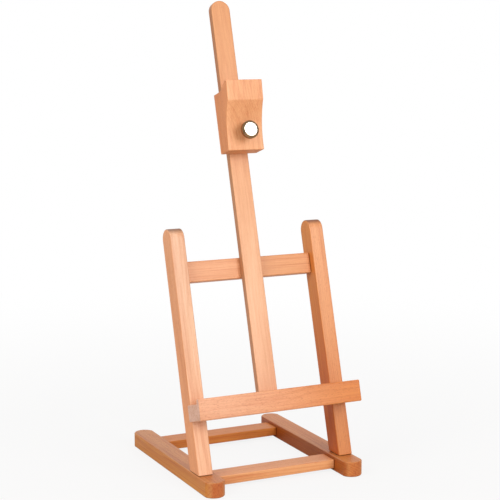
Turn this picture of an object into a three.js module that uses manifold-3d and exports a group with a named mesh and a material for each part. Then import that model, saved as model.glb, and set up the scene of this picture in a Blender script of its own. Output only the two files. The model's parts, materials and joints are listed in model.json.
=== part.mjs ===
// A tabletop easel in beech: two side rails and two cross rails make the base, two uprights
// lean back from it with a crossbar between them, and a thin mast stands in front of the
// crossbar. A tray carries the canvas, and a clamp block slides on the mast above it.
//
// Units are millimetres. X is the width, +Y points to the back and +Z up. The origin is on
// the floor, at the middle of the base.

import * as THREE from 'three';
import { mergeVertices } from 'three/addons/utils/BufferGeometryUtils.js';
import Module from 'manifold-3d';

const wasm = await Module();
wasm.setup();

// ---------------------------------------------------------------- driving dimensions

// Planed stock, 23 x 17, is used on edge and flat all over the easel.
const STOCK_WIDE = 23;
const STOCK_THIN = 17;
const GLUE_LINE = 0.2;

// Base
const BASE_WIDTH = 190;
const RAIL_LENGTH = 222;
const RAIL_END_RADIUS = 12;
const CROSS_RAIL_DEPTH = 25;
const CROSS_RAIL_HEIGHT = 10;
const FRONT_CROSS_RAIL_Y = -70;
const REAR_CROSS_RAIL_Y = 74;

// Leaning frame. Inside it, y = 0 is the plane of the uprights' front faces and z runs up
// the uprights from the tops of the side rails.
const LEAN = THREE.MathUtils.degToRad(16.5);
const FOOT_FRONT_Y = -84;
const UPRIGHT_LENGTH = 269.5;
const UPRIGHT_OUTER_X = 94;
const CROSSBAR_BOTTOM = 209;
const MAST_WIDTH = 23;
const MAST_THICKNESS = 8.5;
const MAST_BOTTOM = 61;
const MAST_TOP = 524.5;

// Canvas tray: a shelf with a lip along its front
const TRAY_WIDTH = 195;
const TRAY_DEPTH = 32;
const TRAY_BOTTOM = 58.5;
const SHELF_THICKNESS = 18.5;
const LIP_HEIGHT = 5;
const LIP_THICKNESS = 6.5;
const LIP_BACK_SLOPE = 0.6;

// Canvas holder: the block that slides on the mast. Its z runs up from its underside.
const HOLDER_BOTTOM = 347.5;
const HOLDER_WIDTH = 43.6;
const HOLDER_HEIGHT = 76;
const HOLDER_DEPTH = 21.8;
const HOLDER_LIP_REACH = 37.2;
const HOLDER_LIP_THICKNESS = 6.8;
const HOLDER_BACK_HEIGHT = 67.5;
const HOLDER_GAP = 0.3;
const COVE_RADIUS = 92;
const COVE_START = 6.5;
const FACET_REACH = 35.2;
const SCOOP_START = 15;

// Clamp screw, along y through the holder
const KNOB_HEIGHT = 19.7;
const KNOB_FACE = 39.5;
const KNOB_RADIUS = 10;
const KNOB_THICKNESS = 6;
const COLLAR_RADIUS = 5;
const COLLAR_LENGTH = 4;
const KNOB_WALL = 2;
const KNOB_CHAMFER = 1.6;
const STUD_RADIUS = 3;
const STUD_TIP_RADIUS = 2;
const PAD_RADIUS = 5.5;
const PAD_THICKNESS = 2.4;
const PAD_FLOOR = 1;
const INSERT_BACK = 5.2;
const INSERT_FRONT = 18;
const INSERT_RADIUS = 5;
const INSERT_FLANGE_RADIUS = 7;
const INSERT_FLANGE_THICKNESS = 1.5;

// Guide strap: a bent steel strip that holds the block to the mast
const STRAP_HEIGHT = 22;
const STRAP_THICKNESS = 1.2;
const STRAP_SIDE_PLAY = 0.5;
const STRAP_FLANGE_END = 20;
const STRAP_SCREW_X = 16.6;
const STRAP_SCREW_RISE = 6;
const STRAP_FRONT = -0.1;

// Fasteners
const CLEARANCE = 0.3;
const THIN_DOWEL = { radius: 2.5, depth: 9 };
const THICK_DOWEL = { radius: 3, depth: 11 };
const CROSS_RAIL_DOWEL_SPACING = 12;
const CROSSBAR_DOWEL_SPACING = 11;
const FOOT_DOWEL_BACK = 9;
const FOOT_SCREW_BACK = 19;
const HEAD_SINK = 0.6;
const FOOT_SCREW = { head: 4, headDepth: 2.4, shank: 1.9, length: 42 };
const TRAY_SCREW = { head: 4, headDepth: 2.4, shank: 1.9, length: 44 };
const MAST_SCREW = { head: 3.2, headDepth: 2, shank: 1.5, length: 20.5 };
const MAST_FOOT_SCREW = { head: 3.2, headDepth: 2, shank: 1.5, length: 22 };
const PAN_SCREW = { head: 2.4, headDepth: 1.5, shank: 1.2, length: 10.5 };
const SCREW_RIM = 0.3;
const SCREW_SEAT_GAP = 0.05;
const RECESS_WIDTH = 0.9;
const PAN_SLOT_WIDTH = 0.7;

// Worked out from the above
const RAIL_WIDTH = STOCK_WIDE;
const RAIL_HEIGHT = STOCK_THIN;
const RAIL_CENTRE_X = (BASE_WIDTH - RAIL_WIDTH) / 2;
const RAIL_INNER_X = BASE_WIDTH / 2 - RAIL_WIDTH;
const CROSS_RAIL_CENTRE_Z = RAIL_HEIGHT / 2;
const UPRIGHT_WIDTH = STOCK_THIN;
const UPRIGHT_DEPTH = STOCK_WIDE;
const UPRIGHT_CENTRE_X = UPRIGHT_OUTER_X - UPRIGHT_WIDTH / 2;
const UPRIGHT_INNER_X = UPRIGHT_OUTER_X - UPRIGHT_WIDTH;
const CROSSBAR_HEIGHT = STOCK_WIDE;
const CROSSBAR_FRONT = MAST_THICKNESS + GLUE_LINE;
const CROSSBAR_CENTRE_Y = (CROSSBAR_FRONT + UPRIGHT_DEPTH) / 2;
const CROSSBAR_CENTRE_Z = CROSSBAR_BOTTOM + CROSSBAR_HEIGHT / 2;
const SHELF_TOP = TRAY_BOTTOM + SHELF_THICKNESS;

// ---------------------------------------------------------------- materials

const beech = new THREE.MeshStandardMaterial({ color: 0xd9a273, roughness: 0.55, metalness: 0 });
const dowelWood = new THREE.MeshStandardMaterial({ color: 0xcf9c6c, roughness: 0.7, metalness: 0 });
const brass = new THREE.MeshStandardMaterial({ color: 0xc9a86a, roughness: 0.35, metalness: 1 });
const nickel = new THREE.MeshStandardMaterial({ color: 0xe6dfcd, roughness: 0.12, metalness: 1 });
const steel = new THREE.MeshStandardMaterial({ color: 0xb8bbbe, roughness: 0.35, metalness: 1 });
const nylon = new THREE.MeshStandardMaterial({ color: 0x2b2b2d, roughness: 0.5, metalness: 0 });

// ---------------------------------------------------------------- groups

const easel = new THREE.Group();
const leaningFrame = new THREE.Group();
leaningFrame.position.set(0, FOOT_FRONT_Y, RAIL_HEIGHT);
leaningFrame.rotation.x = -LEAN;
easel.add(leaningFrame);
easel.updateMatrixWorld(true);

const holder = new THREE.Group();
holder.position.z = HOLDER_BOTTOM;
leaningFrame.add(holder);

// ---------------------------------------------------------------- solid helpers

// A closed geometry as a manifold solid, with shared vertices merged and slivers dropped.
function toSolid(geometry) {
  const plain = geometry.clone();
  plain.deleteAttribute('normal');
  plain.deleteAttribute('uv');
  const merged = mergeVertices(plain, 1e-4);
  const index = merged.index.array;
  const triangles = [];
  for (let i = 0; i < index.length; i += 3) {
    const [a, b, c] = [index[i], index[i + 1], index[i + 2]];
    if (a !== b && b !== c && c !== a) triangles.push(a, b, c);
  }
  return new wasm.Manifold(new wasm.Mesh({
    numProp: 3,
    vertProperties: new Float32Array(merged.attributes.position.array),
    triVerts: new Uint32Array(triangles),
  }));
}

function toGeometry(solid) {
  const { vertProperties, triVerts } = solid.getMesh();
  const geometry = new THREE.BufferGeometry();
  geometry.setAttribute('position', new THREE.BufferAttribute(vertProperties, 3));
  geometry.setIndex(new THREE.BufferAttribute(triVerts, 1));
  geometry.computeVertexNormals();
  return geometry;
}

function carve(geometry, cutters) {
  const cut = cutters.reduce((body, cutter) => body.subtract(toSolid(cutter)), toSolid(geometry));
  return toGeometry(cut);
}

function addPiece(parent, name, geometry, material) {
  const mesh = new THREE.Mesh(geometry, material);
  mesh.name = name;
  parent.add(mesh);
  return mesh;
}

function box(width, depth, height, x, y, z) {
  return new THREE.BoxGeometry(width, depth, height).translate(x, y, z);
}

function extrude(shape, depth, curveSegments = 12) {
  return new THREE.ExtrudeGeometry(shape, { depth, curveSegments, bevelEnabled: false });
}

// An outline drawn in (y, z) and extruded along x, centred on centreX.
function extrudeAcross(outline, width, centreX = 0) {
  const turn = new THREE.Matrix4().makeBasis(
    new THREE.Vector3(0, 1, 0),
    new THREE.Vector3(0, 0, 1),
    new THREE.Vector3(1, 0, 0),
  );
  return extrude(outline, width).applyMatrix4(turn).translate(centreX - width / 2, 0, 0);
}

// Turns a geometry made along -Y, with its start at the origin, to run from start along
// direction.
function aim(geometry, start, direction) {
  const turn = new THREE.Quaternion().setFromUnitVectors(
    new THREE.Vector3(0, -1, 0),
    direction.clone().normalize(),
  );
  return geometry.applyQuaternion(turn).translate(start.x, start.y, start.z);
}

// A round rod from start to end; extra lengthens both ends.
function rod(start, end, radius, extra = 0, segments = 16) {
  const direction = end.clone().sub(start);
  const length = direction.length() + 2 * extra;
  const along = new THREE.CylinderGeometry(radius, radius, length, segments);
  along.translate(0, extra - length / 2, 0);
  return aim(along, start, direction);
}

function lathe(profile, segments = 24) {
  return new THREE.LatheGeometry(profile.map(([r, y]) => new THREE.Vector2(r, y)), segments);
}

// A countersunk wood screw along -Y, with the top of its head at the origin.
function countersunkScrew({ head, headDepth, shank, length }) {
  const point = 2 * shank;
  const body = lathe([
    [0, -length],
    [shank, point - length],
    [shank, -headDepth],
    [head, -SCREW_RIM],
    [head, 0],
    [0, 0],
  ], 20);
  const recessLength = 1.1 * head;
  const recessDepth = 0.6 * headDepth;
  const recess = [
    box(recessLength, 2 * recessDepth, RECESS_WIDTH, 0, 0, 0),
    box(RECESS_WIDTH, 2 * recessDepth, recessLength, 0, 0, 0),
  ];
  return carve(body, recess);
}

// A pan-headed screw along -Y, with the underside of its head at the origin.
function panScrew({ head, headDepth, shank, length }) {
  const body = lathe([
    [0, -length],
    [shank, 2 * shank - length],
    [shank, 0],
    [head, 0],
    [head, headDepth * 0.55],
    [head * 0.75, headDepth],
    [0, headDepth],
  ], 16);
  return carve(body, [box(PAN_SLOT_WIDTH, headDepth, 3 * head, 0, headDepth, 0)]);
}

// The hole for a countersunk screw whose head lies HEAD_SINK below the surface.
function countersunkHole({ head, headDepth, shank, length }) {
  const wide = head + CLEARANCE;
  const narrow = shank + CLEARANCE;
  return lathe([
    [0, -length - CLEARANCE],
    [narrow, -length - CLEARANCE],
    [narrow, -headDepth - CLEARANCE],
    [wide, -CLEARANCE],
    [wide, HEAD_SINK + 1],
    [0, HEAD_SINK + 1],
  ], 20);
}

const vector = (x, y, z) => new THREE.Vector3(x, y, z);
const forward = vector(0, -1, 0);
const upward = vector(0, 0, 1);
const SIDES = { left: -1, right: 1 };

// ---------------------------------------------------------------- fastener positions

// Each dowel is { name, start, end, radius }. The base's dowels are in the easel's frame and
// the crossbar's are in the leaning frame.
function crossRailDowels(rail, railY) {
  const dowels = [];
  for (const [side, sign] of Object.entries(SIDES)) {
    for (const [place, step] of [['front', -0.5], ['rear', 0.5]]) {
      const y = railY + step * CROSS_RAIL_DOWEL_SPACING;
      dowels.push({
        name: `${rail}_dowel_${side}_${place}`,
        start: vector(sign * (RAIL_INNER_X - THIN_DOWEL.depth), y, CROSS_RAIL_CENTRE_Z),
        end: vector(sign * (RAIL_INNER_X + THIN_DOWEL.depth), y, CROSS_RAIL_CENTRE_Z),
        radius: THIN_DOWEL.radius,
      });
    }
  }
  return dowels;
}

function crossbarDowels() {
  const dowels = [];
  for (const [side, sign] of Object.entries(SIDES)) {
    for (const [place, step] of [['lower', -0.5], ['upper', 0.5]]) {
      const z = CROSSBAR_CENTRE_Z + step * CROSSBAR_DOWEL_SPACING;
      dowels.push({
        name: `crossbar_dowel_${side}_${place}`,
        start: vector(sign * (UPRIGHT_INNER_X - THICK_DOWEL.depth), CROSSBAR_CENTRE_Y, z),
        end: vector(sign * (UPRIGHT_INNER_X + THICK_DOWEL.depth), CROSSBAR_CENTRE_Y, z),
        radius: THICK_DOWEL.radius,
      });
    }
  }
  return dowels;
}

// The foot of each upright has one dowel and, behind it, one screw, both upright in the world.
function footDowel(sign) {
  const y = FOOT_FRONT_Y + FOOT_DOWEL_BACK;
  const x = sign * UPRIGHT_CENTRE_X;
  return {
    start: vector(x, y, RAIL_HEIGHT - THICK_DOWEL.depth),
    end: vector(x, y, RAIL_HEIGHT + THICK_DOWEL.depth),
    radius: THICK_DOWEL.radius,
  };
}

function footScrewHead(sign) {
  return vector(sign * UPRIGHT_CENTRE_X, FOOT_FRONT_Y + FOOT_SCREW_BACK, HEAD_SINK);
}

function dowelHole({ start, end, radius }) {
  return rod(start, end, radius + CLEARANCE, CLEARANCE);
}

const frontRailDowels = crossRailDowels('front_cross_rail', FRONT_CROSS_RAIL_Y);
const rearRailDowels = crossRailDowels('rear_cross_rail', REAR_CROSS_RAIL_Y);
const barDowels = crossbarDowels();

const mastScrewHeads = [-0.25, 0.25].map((step) => (
  vector(0, UPRIGHT_DEPTH - HEAD_SINK, CROSSBAR_CENTRE_Z + step * CROSSBAR_HEIGHT)
));
const mastFootScrewHeads = [-0.2, 0.25].map((step) => (
  vector(0, MAST_THICKNESS - HEAD_SINK, TRAY_BOTTOM + (0.5 + step) * SHELF_THICKNESS)
));
const trayScrewHead = (sign) => (
  vector(sign * UPRIGHT_CENTRE_X, UPRIGHT_DEPTH - HEAD_SINK, TRAY_BOTTOM + SHELF_THICKNESS / 2)
);

// ---------------------------------------------------------------- base

function railOutline() {
  const half = RAIL_WIDTH / 2;
  const centreY = RAIL_LENGTH / 2 - RAIL_END_RADIUS;
  const corner = Math.acos(half / RAIL_END_RADIUS);
  const outline = new THREE.Shape();
  outline.absarc(0, centreY, RAIL_END_RADIUS, corner, Math.PI - corner, false);
  outline.absarc(0, -centreY, RAIL_END_RADIUS, Math.PI + corner, -corner, false);
  outline.closePath();
  return outline;
}

function sideRail(side, sign) {
  const rail = extrude(railOutline(), RAIL_HEIGHT, 16).translate(sign * RAIL_CENTRE_X, 0, 0);
  const holes = [...frontRailDowels, ...rearRailDowels, footDowel(sign)].map(dowelHole);
  holes.push(aim(countersunkHole(FOOT_SCREW), footScrewHead(sign), upward));
  addPiece(easel, `${side}_side_rail`, carve(rail, holes), beech);
}

function crossRail(name, y, dowels) {
  const length = 2 * (RAIL_INNER_X - GLUE_LINE);
  const rail = box(length, CROSS_RAIL_DEPTH, CROSS_RAIL_HEIGHT, 0, y, CROSS_RAIL_CENTRE_Z);
  addPiece(easel, name, carve(rail, dowels.map(dowelHole)), beech);
}

// ---------------------------------------------------------------- leaning frame

// The foot is cut level with the floor, and the top is half round.
function uprightOutline() {
  const foot = GLUE_LINE;
  const rise = UPRIGHT_DEPTH * Math.tan(LEAN);
  const half = UPRIGHT_DEPTH / 2;
  const outline = new THREE.Shape();
  outline.moveTo(0, foot);
  outline.lineTo(UPRIGHT_DEPTH, foot + rise);
  outline.absarc(half, UPRIGHT_LENGTH - half, half, 0, Math.PI, false);
  outline.closePath();
  return outline;
}

function inLeaningFrame({ start, end, radius }) {
  return {
    start: leaningFrame.worldToLocal(start.clone()),
    end: leaningFrame.worldToLocal(end.clone()),
    radius,
  };
}

function upright(side, sign) {
  const post = extrudeAcross(uprightOutline(), UPRIGHT_WIDTH, sign * UPRIGHT_CENTRE_X);
  const screwHead = footScrewHead(sign);
  const screwEnd = screwHead.clone().setZ(screwHead.z + FOOT_SCREW.length);
  const screwPath = { start: screwHead, end: screwEnd, radius: FOOT_SCREW.shank };
  const holes = [
    dowelHole(inLeaningFrame(footDowel(sign))),
    dowelHole(inLeaningFrame(screwPath)),
    ...barDowels.map(dowelHole),
    aim(countersunkHole(TRAY_SCREW), trayScrewHead(sign), forward),
  ];
  addPiece(leaningFrame, `${side}_upright`, carve(post, holes), beech);
}

function crossbar() {
  const length = 2 * (UPRIGHT_INNER_X - GLUE_LINE);
  const depth = UPRIGHT_DEPTH - CROSSBAR_FRONT;
  const bar = box(length, depth, CROSSBAR_HEIGHT, 0, CROSSBAR_CENTRE_Y, CROSSBAR_CENTRE_Z);
  const holes = barDowels.map(dowelHole);
  for (const head of mastScrewHeads) holes.push(aim(countersunkHole(MAST_SCREW), head, forward));
  addPiece(leaningFrame, 'crossbar', carve(bar, holes), beech);
}

function mastOutline() {
  const half = MAST_WIDTH / 2;
  const outline = new THREE.Shape();
  outline.moveTo(-half, MAST_BOTTOM);
  outline.lineTo(half, MAST_BOTTOM);
  outline.absarc(0, MAST_TOP - half, half, 0, Math.PI, false);
  outline.closePath();
  return outline;
}

function mast() {
  const batten = extrude(mastOutline(), MAST_THICKNESS, 20);
  batten.rotateX(Math.PI / 2).translate(0, MAST_THICKNESS, 0);
  const holes = mastFootScrewHeads.map((head) => (
    aim(countersunkHole(MAST_FOOT_SCREW), head, forward)
  ));
  for (const head of mastScrewHeads) holes.push(aim(countersunkHole(MAST_SCREW), head, forward));
  addPiece(leaningFrame, 'mast', carve(batten, holes), beech);
}

function trayOutline() {
  const front = -TRAY_DEPTH;
  const back = -GLUE_LINE;
  const lipFoot = front + LIP_THICKNESS;
  const outline = new THREE.Shape();
  outline.moveTo(front, TRAY_BOTTOM);
  outline.lineTo(back, TRAY_BOTTOM);
  outline.lineTo(back, SHELF_TOP);
  outline.lineTo(lipFoot, SHELF_TOP);
  outline.lineTo(lipFoot - LIP_BACK_SLOPE, SHELF_TOP + LIP_HEIGHT);
  outline.lineTo(front, SHELF_TOP + LIP_HEIGHT);
  outline.closePath();
  return outline;
}

function tray() {
  const holes = mastFootScrewHeads.map((head) => (
    aim(countersunkHole(MAST_FOOT_SCREW), head, forward)
  ));
  for (const sign of Object.values(SIDES)) {
    holes.push(aim(countersunkHole(TRAY_SCREW), trayScrewHead(sign), forward));
  }
  const ledge = extrudeAcross(trayOutline(), TRAY_WIDTH);
  addPiece(leaningFrame, 'canvas_tray', carve(ledge, holes), beech);
}

// ---------------------------------------------------------------- canvas holder

// Front is -y. The front face sweeps out in a long shallow cove to a lip, and the top is scooped
// behind the lip.
function holderOutline() {
  const coveCentre = -(HOLDER_DEPTH + COVE_RADIUS);
  const coveEnd = Math.acos((-FACET_REACH - coveCentre) / COVE_RADIUS);
  const lipBack = HOLDER_LIP_REACH - HOLDER_LIP_THICKNESS;
  const rise = HOLDER_HEIGHT - HOLDER_BACK_HEIGHT;
  const run = lipBack - SCOOP_START;
  const scoopRadius = (run * run + rise * rise) / (2 * rise);
  const scoopEnd = Math.asin(run / scoopRadius);
  const scoopCentreZ = HOLDER_BACK_HEIGHT + scoopRadius;
  const down = -Math.PI / 2;
  const outline = new THREE.Shape();
  outline.moveTo(-HOLDER_DEPTH, 0);
  outline.lineTo(-HOLDER_GAP, 0);
  outline.lineTo(-HOLDER_GAP, HOLDER_BACK_HEIGHT);
  outline.absarc(-SCOOP_START, scoopCentreZ, scoopRadius, down, down - scoopEnd, true);
  outline.lineTo(-HOLDER_LIP_REACH, HOLDER_HEIGHT);
  outline.absarc(coveCentre, COVE_START, COVE_RADIUS, coveEnd, 0, true);
  outline.closePath();
  return outline;
}

function strapScrewPlaces() {
  const places = [];
  for (const [side, sign] of Object.entries(SIDES)) {
    for (const [place, step] of [['lower', -1], ['upper', 1]]) {
      const z = KNOB_HEIGHT + step * STRAP_SCREW_RISE;
      places.push({ name: `strap_screw_${side}_${place}`, x: sign * STRAP_SCREW_X, z });
    }
  }
  return places;
}

function holderBlock() {
  const along = (from, to, radius) => rod(
    vector(0, -from, KNOB_HEIGHT),
    vector(0, -to, KNOB_HEIGHT),
    radius,
    0,
    24,
  );
  const flangeFront = INSERT_BACK + INSERT_FLANGE_THICKNESS + CLEARANCE;
  const holes = [
    along(-1, flangeFront, INSERT_FLANGE_RADIUS + CLEARANCE),
    along(0, INSERT_FRONT + CLEARANCE, INSERT_RADIUS + CLEARANCE),
    along(0, HOLDER_LIP_REACH, STUD_RADIUS + 2 * CLEARANCE),
  ];
  for (const { x, z } of strapScrewPlaces()) {
    holes.push(rod(vector(x, 2, z), vector(x, -PAN_SCREW.length, z), PAN_SCREW.shank + CLEARANCE));
  }
  const block = extrudeAcross(holderOutline(), HOLDER_WIDTH);
  addPiece(holder, 'canvas_holder', carve(block, holes), beech);
}

function strapOutline() {
  const inside = MAST_WIDTH / 2 + STRAP_SIDE_PLAY;
  const outside = inside + STRAP_THICKNESS;
  const flangeBack = STRAP_FRONT + STRAP_THICKNESS;
  const webFront = MAST_THICKNESS + STRAP_SIDE_PLAY;
  const webBack = webFront + STRAP_THICKNESS;
  const half = [
    [STRAP_FLANGE_END, STRAP_FRONT],
    [STRAP_FLANGE_END, flangeBack],
    [outside, flangeBack],
    [outside, webBack],
  ];
  const inner = [[inside, webFront], [inside, STRAP_FRONT]];
  const mirrored = (points) => points.map(([x, y]) => [-x, y]).reverse();
  const points = [...half, ...mirrored(half), ...mirrored(inner), ...inner];
  return new THREE.Shape(points.map(([x, y]) => new THREE.Vector2(x, y)));
}

function guideStrap() {
  const bottom = KNOB_HEIGHT - STRAP_HEIGHT / 2;
  const strip = extrude(strapOutline(), STRAP_HEIGHT).translate(0, 0, bottom);
  const holes = strapScrewPlaces().map(({ x, z }) => (
    rod(vector(x, -1, z), vector(x, 2, z), PAN_SCREW.shank + CLEARANCE)
  ));
  addPiece(holder, 'guide_strap', carve(strip, holes), steel);
  const headSeat = STRAP_FRONT + STRAP_THICKNESS + SCREW_SEAT_GAP;
  for (const { name, x, z } of strapScrewPlaces()) {
    addPiece(holder, name, aim(panScrew(PAN_SCREW), vector(x, headSeat, z), forward), steel);
  }
}

// Clamp pieces are turned about the screw's axis. A profile's second value is the distance
// forward of the mast's front face.
function turnedForward(profile, segments = 32) {
  return lathe(profile, segments).rotateX(Math.PI).translate(0, 0, KNOB_HEIGHT);
}

function threadedInsert() {
  const bore = STUD_RADIUS + CLEARANCE;
  const flangeFront = INSERT_BACK + INSERT_FLANGE_THICKNESS;
  addPiece(holder, 'threaded_insert', turnedForward([
    [bore, INSERT_BACK],
    [INSERT_FLANGE_RADIUS, INSERT_BACK],
    [INSERT_FLANGE_RADIUS, flangeFront],
    [INSERT_RADIUS, flangeFront],
    [INSERT_RADIUS, INSERT_FRONT],
    [bore, INSERT_FRONT],
    [bore, INSERT_BACK],
  ]), brass);
}

function clampPad() {
  const front = HOLDER_GAP + PAD_THICKNESS;
  const socket = STUD_TIP_RADIUS + CLEARANCE;
  addPiece(holder, 'clamp_pad', turnedForward([
    [0, HOLDER_GAP],
    [PAD_RADIUS, HOLDER_GAP],
    [PAD_RADIUS, front],
    [socket, front],
    [socket, HOLDER_GAP + PAD_FLOOR],
    [0, HOLDER_GAP + PAD_FLOOR],
  ]), nylon);
}

function clampStud() {
  const shoulder = HOLDER_GAP + PAD_THICKNESS + CLEARANCE;
  const tip = HOLDER_GAP + PAD_FLOOR + CLEARANCE;
  const end = KNOB_FACE - KNOB_WALL;
  addPiece(holder, 'clamp_stud', turnedForward([
    [0, tip],
    [STUD_TIP_RADIUS, tip],
    [STUD_TIP_RADIUS, shoulder],
    [STUD_RADIUS, shoulder],
    [STUD_RADIUS, end],
    [0, end],
  ], 24), steel);
}

function knobHead() {
  const back = KNOB_FACE - KNOB_THICKNESS;
  const collarBack = back - COLLAR_LENGTH;
  const bore = STUD_RADIUS + CLEARANCE;
  const boreEnd = KNOB_FACE - KNOB_WALL + CLEARANCE;
  addPiece(holder, 'knob_head', turnedForward([
    [bore, collarBack],
    [COLLAR_RADIUS, collarBack],
    [COLLAR_RADIUS, back],
    [KNOB_RADIUS - KNOB_CHAMFER, back],
    [KNOB_RADIUS, back + KNOB_CHAMFER],
    [KNOB_RADIUS, KNOB_FACE - KNOB_CHAMFER],
    [KNOB_RADIUS - KNOB_CHAMFER, KNOB_FACE],
    [0, KNOB_FACE],
    [0, boreEnd],
    [bore, boreEnd],
    [bore, collarBack],
  ]), nickel);
}

// ---------------------------------------------------------------- fasteners

function addDowel(parent, name, { start, end, radius }) {
  addPiece(parent, name, rod(start, end, radius), dowelWood);
}

function addScrew(parent, name, spec, head, direction) {
  addPiece(parent, name, aim(countersunkScrew(spec), head, direction), steel);
}

function addFasteners() {
  for (const dowel of [...frontRailDowels, ...rearRailDowels]) addDowel(easel, dowel.name, dowel);
  for (const dowel of barDowels) addDowel(leaningFrame, dowel.name, dowel);
  for (const [side, sign] of Object.entries(SIDES)) {
    addDowel(easel, `foot_dowel_${side}`, footDowel(sign));
    addScrew(easel, `foot_screw_${side}`, FOOT_SCREW, footScrewHead(sign), upward);
    addScrew(leaningFrame, `tray_screw_${side}`, TRAY_SCREW, trayScrewHead(sign), forward);
  }
  ['lower', 'upper'].forEach((place, i) => {
    addScrew(leaningFrame, `mast_screw_${place}`, MAST_SCREW, mastScrewHeads[i], forward);
    addScrew(leaningFrame, `mast_foot_screw_${place}`, MAST_FOOT_SCREW, mastFootScrewHeads[i], forward);
  });
}

// ---------------------------------------------------------------- assembly

for (const [side, sign] of Object.entries(SIDES)) {
  sideRail(side, sign);
  upright(side, sign);
}
crossRail('front_cross_rail', FRONT_CROSS_RAIL_Y, frontRailDowels);
crossRail('rear_cross_rail', REAR_CROSS_RAIL_Y, rearRailDowels);
crossbar();
mast();
tray();
holderBlock();
guideStrap();
threadedInsert();
clampPad();
clampStud();
knobHead();
addFasteners();

export default easel;
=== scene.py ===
"""The looks of a beech tabletop easel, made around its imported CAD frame.

Blender works in metres; names that end in _MM or _mm are in millimetres, and so are the
profiles of turned pieces. Three directions recur: RIGHT, FORWARD (out of the mast's front face)
and UP_LEAN (up along the mast).
"""

import json
import math
import random
from dataclasses import dataclass

import bmesh
import bpy
from mathutils import Matrix, Vector
from mathutils.bvhtree import BVHTree


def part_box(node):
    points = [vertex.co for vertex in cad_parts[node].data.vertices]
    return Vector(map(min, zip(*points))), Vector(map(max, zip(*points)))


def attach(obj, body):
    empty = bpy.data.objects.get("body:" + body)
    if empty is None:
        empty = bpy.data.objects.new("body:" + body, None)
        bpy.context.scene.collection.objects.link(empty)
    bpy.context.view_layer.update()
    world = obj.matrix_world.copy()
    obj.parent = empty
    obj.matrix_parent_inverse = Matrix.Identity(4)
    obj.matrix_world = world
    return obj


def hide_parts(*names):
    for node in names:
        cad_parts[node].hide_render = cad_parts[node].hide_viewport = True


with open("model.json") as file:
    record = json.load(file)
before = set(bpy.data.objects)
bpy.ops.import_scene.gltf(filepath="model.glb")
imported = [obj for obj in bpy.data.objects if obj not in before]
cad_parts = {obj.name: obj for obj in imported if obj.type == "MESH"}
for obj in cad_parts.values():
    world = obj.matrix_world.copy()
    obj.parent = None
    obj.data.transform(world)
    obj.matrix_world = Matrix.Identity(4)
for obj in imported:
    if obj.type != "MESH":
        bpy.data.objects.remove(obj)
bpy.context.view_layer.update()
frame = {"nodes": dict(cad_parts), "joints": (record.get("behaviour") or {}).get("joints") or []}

MM = 0.001

# ---------------------------------------------------------------- directions and sizes

JOINTS = {joint["name"]: joint for joint in frame["joints"]}
RIGHT = Vector((1, 0, 0))
BACK = Vector((0, 1, 0))
UP = Vector((0, 0, 1))
UP_LEAN = Vector(JOINTS["holder_slide"]["axis"]).normalized()
FORWARD = Vector(JOINTS["knob_turn"]["axis"]).normalized()
KNOB_CENTRE = Vector(JOINTS["knob_turn"]["pos_m"])

SIDES = ("left", "right")
LEVELS = ("lower", "upper")
CROSS_RAILS = ("front_cross_rail", "rear_cross_rail")
RAIL_DOWELS = [
    f"{rail}_dowel_{side}_{end}"
    for rail in CROSS_RAILS for side in SIDES for end in ("front", "rear")
]
BAR_DOWELS = [f"crossbar_dowel_{side}_{level}" for side in SIDES for level in LEVELS]

HOLE_CLEARANCE_MM = 0.3
BOARD_ROUNDING_MM = 1.3
CROSS_RAIL_ROUNDING_MM = 0.8
MAST_ROUNDING_MM = 1.1
BLOCK_ROUNDING_MM = 0.9
ROUNDING_STEPS = 4
ROUNDED_EDGE_ANGLE = math.radians(28)
SMOOTH_ANGLE = math.radians(32)

# Head radius, head depth and shank radius: two countersunk screws and one with a pan head
LARGE_SCREW_MM = {"head": 4.0, "depth": 2.4, "shank": 1.9}
SMALL_SCREW_MM = {"head": 3.2, "depth": 2.0, "shank": 1.5}
PAN_SCREW_MM = {"head": 2.4, "depth": 1.5, "shank": 1.2}
ABOVE_HEAD_MM = 3.0              # where a screw hole's cutter starts, clear of the board
SCREW_POINT = 2.2                # the point's length, in shank radii
RECESS_REACH = 0.58              # the cross recess, in head radii
RECESS_WIDTH = 0.23
RECESS_DEPTH = 0.62              # in head depths
ROUND_SEGMENTS = 40
HOLE_SEGMENTS = 32
SMALL_HOLE_SEGMENTS = 24
CLAMP_HOLE_SEGMENTS = 48

# The block's hole for the clamp: a recess for the insert's flange, a bore for its sleeve, and
# a way through for the stud. The cutters start behind the block's back face.
FLANGE_THICKNESS_MM = 1.5
FLANGE_OVERHANG_MM = 2.0
STUD_HOLE_RADIUS_MM = 3.6
BEHIND_BLOCK_MM = -3.0
BEYOND_BLOCK_MM = 30.0

THREAD_PITCH_MM = 1.0
THREAD_DEPTH_MM = 0.55
THREAD_ROWS_PER_PITCH = 8
THREAD_LEAD_MM = 0.4             # from the shoulder to the first ridge
THREAD_FADE_MM = 1.2             # over which the ridges rise to their full height
STUD_TIP_MM = {"radius": 2.0, "length": 1.5, "chamfer": 0.25}

KNURL_TEETH = 64
KNURL_DEPTH_MM = 0.22
KNURL_FADE_MM = 0.3
KNURL_ROWS = 9
KNOB_MM = {
    "thickness": 6.0, "collar": 5.0, "back_chamfer": 1.3, "chamfer_width": 2.6,
    "chamfer_depth": 1.7, "wall": 1.7, "bore": 3.3,
}
# A narrow ledge lies between the chamfer and the face. The face's edge lies a little below its
# centre, and its almost flat middle starts further in.
FACE_MM = {"ledge_width": 0.25, "ledge_drop": 0.32, "edge_drop": 0.10, "inset": 3.5, "drop": 0.01}

STRAP_THICKNESS_MM = 1.2
STRAP_BEND_MM = 1.6
STRAP_FLANGE_MM = 8.0
STRAP_EDGE_MM = 0.18

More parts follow.
